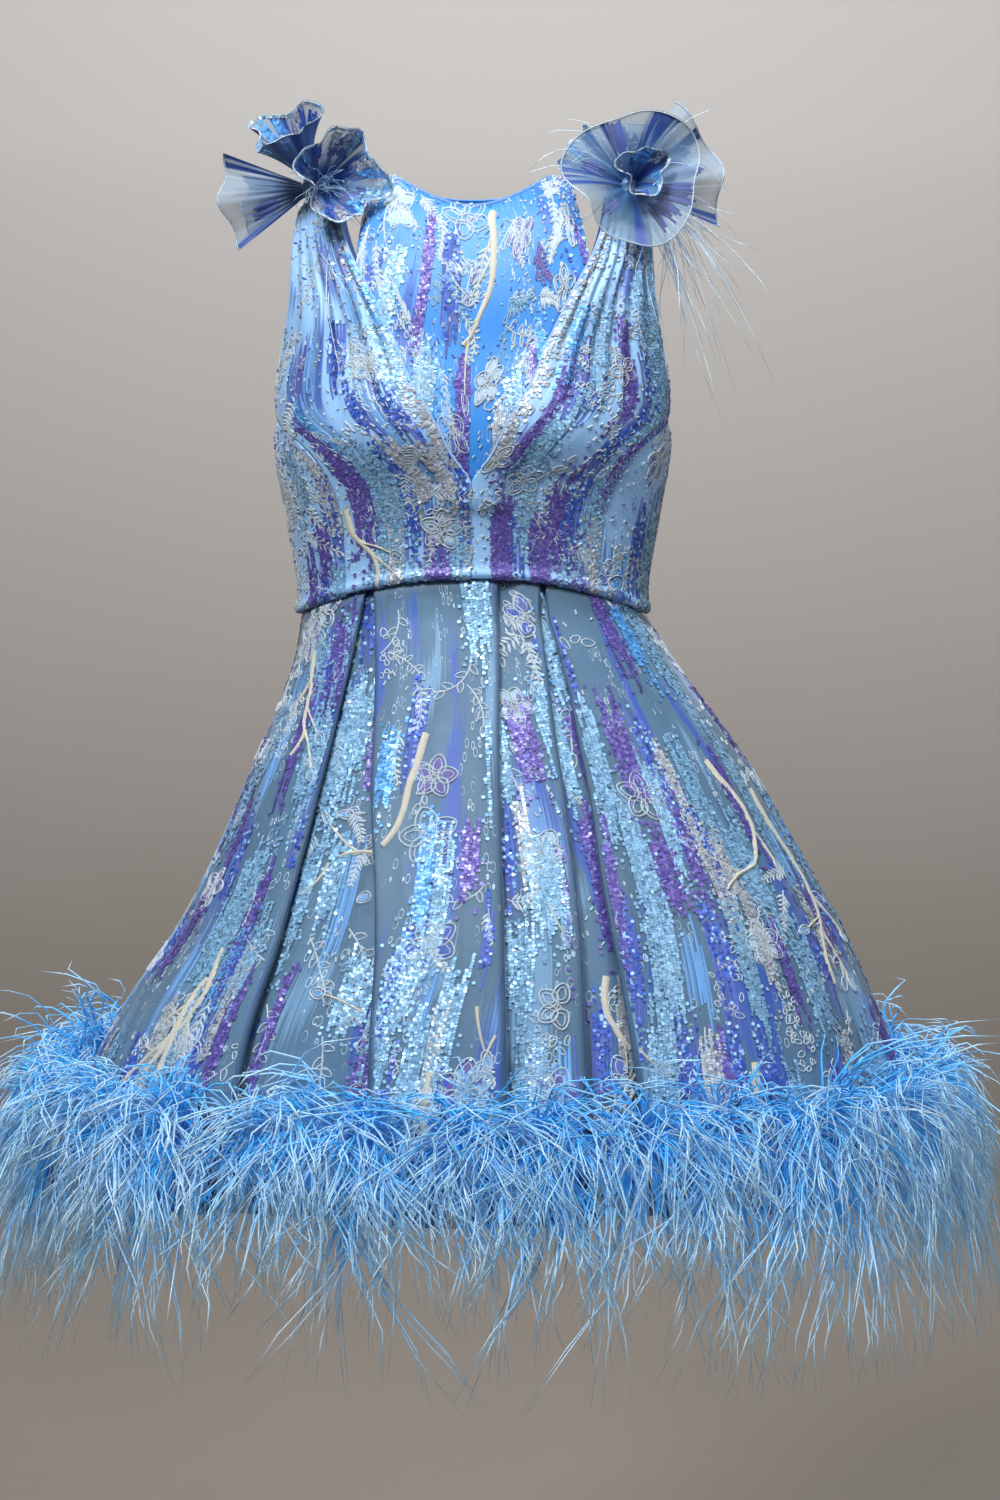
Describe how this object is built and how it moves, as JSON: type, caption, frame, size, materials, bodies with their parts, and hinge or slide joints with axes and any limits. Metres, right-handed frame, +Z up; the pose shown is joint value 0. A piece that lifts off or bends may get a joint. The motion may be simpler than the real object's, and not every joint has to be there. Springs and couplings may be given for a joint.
{
  "type": "feather mini dress",
  "caption": "Fitted V-neck bodice over a high-necked inset, shoulder bows, and a pleated flared skirt with a feather hem, in its hollow worn form.",
  "frame": {"origin": "between the two shoulders, on the line where the shoulder straps rest", "axes": "+Z up, the front of the dress faces -Y, +X is to the right of a viewer who faces its front"},
  "size_m": [0.7874, 0.5777, 0.9452],
  "materials": {
    "satin": "smooth satin, soft sheen",
    "embroidered_satin": "satin with sequins and thread embroidery",
    "embroidered_organza": "sheer organza with sequins and thread embroidery",
    "lining": "satin lining",
    "bow_organza": "sheer organza with sequin streaks",
    "feather": "dyed soft feathers with pale tips"
  },
  "bodies": {
    "root": {"yoke_front": "satin", "neck_band_back": "satin", "front_cup_left": "embroidered_satin", "front_cup_right": "embroidered_satin", "side_front_left": "embroidered_satin", "side_front_right": "embroidered_satin", "back_left": "embroidered_satin", "back_right": "embroidered_satin", "skirt_front": "embroidered_organza", "skirt_back_left": "embroidered_organza", "skirt_back_right": "embroidered_organza", "skirt_lining": "lining", "feather_trim": "feather", "bow_left_knot": "bow_organza", "bow_left_rosette": "bow_organza", "bow_left_roll": "bow_organza", "bow_left_tail": "bow_organza", "bow_left_back_loop": "bow_organza", "bow_left_neck_petal": "bow_organza", "bow_left_feathers": "feather", "bow_right_knot": "bow_organza", "bow_right_cup": "bow_organza", "bow_right_side_cup": "bow_organza", "bow_right_tail": "bow_organza", "bow_right_under_tail": "bow_organza", "bow_right_feathers": "feather"}
  },
  "joints": []
}
